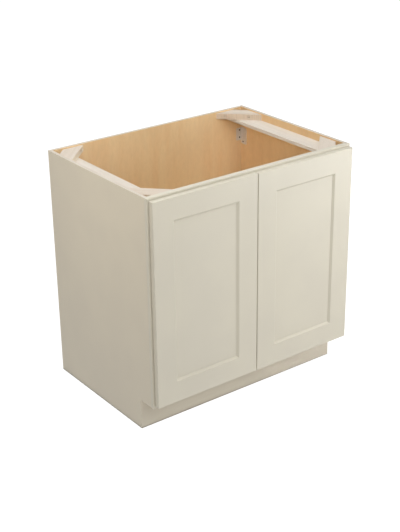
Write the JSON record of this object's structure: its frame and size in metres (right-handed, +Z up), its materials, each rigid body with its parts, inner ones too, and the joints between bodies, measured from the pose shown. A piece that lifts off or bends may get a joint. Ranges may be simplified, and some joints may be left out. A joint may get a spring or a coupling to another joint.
{
  "type": "base cabinet",
  "caption": "Open-topped kitchen base cabinet with recessed-panel overlay doors on concealed hinges and dovetailed rollout trays on roller slides behind them.",
  "frame": {"origin": "on the floor under the middle of the overall box", "axes": "+X to the right as seen from the front, +Y to the back, +Z up"},
  "size_m": [0.87, 0.6306, 0.8763],
  "materials": {
    "cream_paint": "satin sprayed cream paint on timber and ply",
    "maple_ply": "clear lacquered maple veneer ply",
    "maple_tray": "clear lacquered maple",
    "pale_timber": "planed bare pale timber",
    "epoxy_steel": "epoxy powder coated steel",
    "zinc_steel": "zinc plated steel",
    "nickel_steel": "nickel plated steel",
    "white_nylon": "moulded nylon",
    "clear_bumper": "soft clear dots"
  },
  "bodies": {
    "case": {"back_left_corner_block": "pale_timber", "back_panel": "maple_ply", "back_right_corner_block": "pale_timber", "corner_block_screws": "zinc_steel", "face_frame_bottom_rail": "cream_paint", "face_frame_left_stile": "cream_paint", "face_frame_right_stile": "cream_paint", "face_frame_top_rail": "cream_paint", "floor_panel": "maple_ply", "front_left_corner_block": "pale_timber", "front_right_corner_block": "pale_timber", "left_corner_bracket": "zinc_steel", "left_hinge_arms": "nickel_steel", "left_side_panel": "cream_paint", "left_slide_posts": "pale_timber", "left_top_board": "pale_timber", "lower_cabinet_slides": "epoxy_steel", "pan_head_screws": "zinc_steel", "right_corner_bracket": "zinc_steel", "right_hinge_arms": "nickel_steel", "right_side_panel": "cream_paint", "right_slide_posts": "pale_timber", "right_top_board": "pale_timber", "toe_kick_board": "cream_paint", "upper_cabinet_slides": "epoxy_steel"},
    "left_door": {"left_door_bottom_rail": "cream_paint", "left_door_bumpers": "clear_bumper", "left_door_hinge_stile": "cream_paint", "left_door_lock_stile": "cream_paint", "left_door_panel": "cream_paint", "left_door_top_rail": "cream_paint", "left_hinge_cups": "nickel_steel"},
    "left_inner_links": {"left_inner_links": "nickel_steel"},
    "left_outer_links": {"left_outer_links": "nickel_steel"},
    "lower_front_rollers": {"lower_front_rollers": "white_nylon"},
    "lower_rear_rollers": {"lower_rear_rollers": "white_nylon"},
    "lower_tray": {"lower_tray_back": "maple_tray", "lower_tray_bottom": "maple_tray", "lower_tray_front": "maple_tray", "lower_tray_left_side": "maple_tray", "lower_tray_right_side": "maple_tray", "lower_tray_slides": "epoxy_steel"},
    "right_door": {"right_door_bottom_rail": "cream_paint", "right_door_bumpers": "clear_bumper", "right_door_hinge_stile": "cream_paint", "right_door_lock_stile": "cream_paint", "right_door_panel": "cream_paint", "right_door_top_rail": "cream_paint", "right_hinge_cups": "nickel_steel"},
    "right_inner_links": {"right_inner_links": "nickel_steel"},
    "right_outer_links": {"right_outer_links": "nickel_steel"},
    "upper_front_rollers": {"upper_front_rollers": "white_nylon"},
    "upper_rear_rollers": {"upper_rear_rollers": "white_nylon"},
    "upper_tray": {"upper_tray_back": "maple_tray", "upper_tray_bottom": "maple_tray", "upper_tray_front": "maple_tray", "upper_tray_left_side": "maple_tray", "upper_tray_right_side": "maple_tray", "upper_tray_slides": "epoxy_steel"}
  },
  "joints": [
    {"name": "left_hinge_inner_link_turn", "type": "hinge", "parent": "case", "child": "left_inner_links", "pos_m": [-0.3929, -0.29641, 0.4955], "axis": [0, 0, 1], "range_deg": [0, 47.08]},
    {"name": "left_door_swing", "type": "hinge", "parent": "left_inner_links", "child": "left_door", "pos_m": [-0.41534, -0.29668, 0.4955], "axis": [0, 0, -1], "range_deg": [0, 157.1]},
    {"name": "left_hinge_outer_link_turn", "type": "hinge", "parent": "case", "child": "left_outer_links", "pos_m": [-0.39763, -0.30497, 0.4955], "axis": [0, 0, 1], "range_deg": [0, 55.68]},
    {"name": "right_hinge_inner_link_turn", "type": "hinge", "parent": "case", "child": "right_inner_links", "pos_m": [0.3929, -0.29641, 0.4955], "axis": [0, 0, -1], "range_deg": [0, 47.1]},
    {"name": "right_door_swing", "type": "hinge", "parent": "right_inner_links", "child": "right_door", "pos_m": [0.41534, -0.29668, 0.4955], "axis": [0, 0, 1], "range_deg": [0, 157.1]},
    {"name": "right_hinge_outer_link_turn", "type": "hinge", "parent": "case", "child": "right_outer_links", "pos_m": [0.39763, -0.30497, 0.4955], "axis": [0, 0, -1], "range_deg": [0, 55.68]},
    {"name": "lower_tray_slide", "type": "slide", "parent": "case", "child": "lower_tray", "axis": [0, -1, 0], "range_m": [0, 0.343]},
    {"name": "lower_front_roller_spin", "type": "hinge", "parent": "case", "child": "lower_front_rollers", "pos_m": [0, -0.17522, 0.1879], "axis": [1, 0, 0], "continuous": true},
    {"name": "lower_rear_roller_spin", "type": "hinge", "parent": "lower_tray", "child": "lower_rear_rollers", "pos_m": [0, 0.25398, 0.1849], "axis": [1, 0, 0], "continuous": true},
    {"name": "upper_tray_slide", "type": "slide", "parent": "case", "child": "upper_tray", "axis": [0, -1, 0], "range_m": [0, 0.343]},
    {"name": "upper_front_roller_spin", "type": "hinge", "parent": "case", "child": "upper_front_rollers", "pos_m": [0, -0.17522, 0.4709], "axis": [1, 0, 0], "continuous": true},
    {"name": "upper_rear_roller_spin", "type": "hinge", "parent": "upper_tray", "child": "upper_rear_rollers", "pos_m": [0, 0.25398, 0.4679], "axis": [1, 0, 0], "continuous": true}
  ],
  "couplings": [
    {"joint": "left_door_swing", "follows": "left_hinge_inner_link_turn", "ratio": 3.3364},
    {"joint": "left_hinge_outer_link_turn", "follows": "left_hinge_inner_link_turn", "ratio": 1.1822},
    {"joint": "right_hinge_inner_link_turn", "follows": "left_hinge_inner_link_turn", "ratio": 1},
    {"joint": "right_door_swing", "follows": "left_hinge_inner_link_turn", "ratio": 3.3364},
    {"joint": "right_hinge_outer_link_turn", "follows": "left_hinge_inner_link_turn", "ratio": 1.1822},
    {"joint": "lower_tray_slide", "follows": "left_hinge_inner_link_turn", "m_per_rad": 0.41731},
    {"joint": "lower_front_roller_spin", "follows": "left_hinge_inner_link_turn", "ratio": 37.937},
    {"joint": "lower_rear_roller_spin", "follows": "left_hinge_inner_link_turn", "ratio": 37.937},
    {"joint": "upper_tray_slide", "follows": "left_hinge_inner_link_turn", "m_per_rad": 0.41731},
    {"joint": "upper_front_roller_spin", "follows": "left_hinge_inner_link_turn", "ratio": 37.937},
    {"joint": "upper_rear_roller_spin", "follows": "left_hinge_inner_link_turn", "ratio": 37.937}
  ]
}
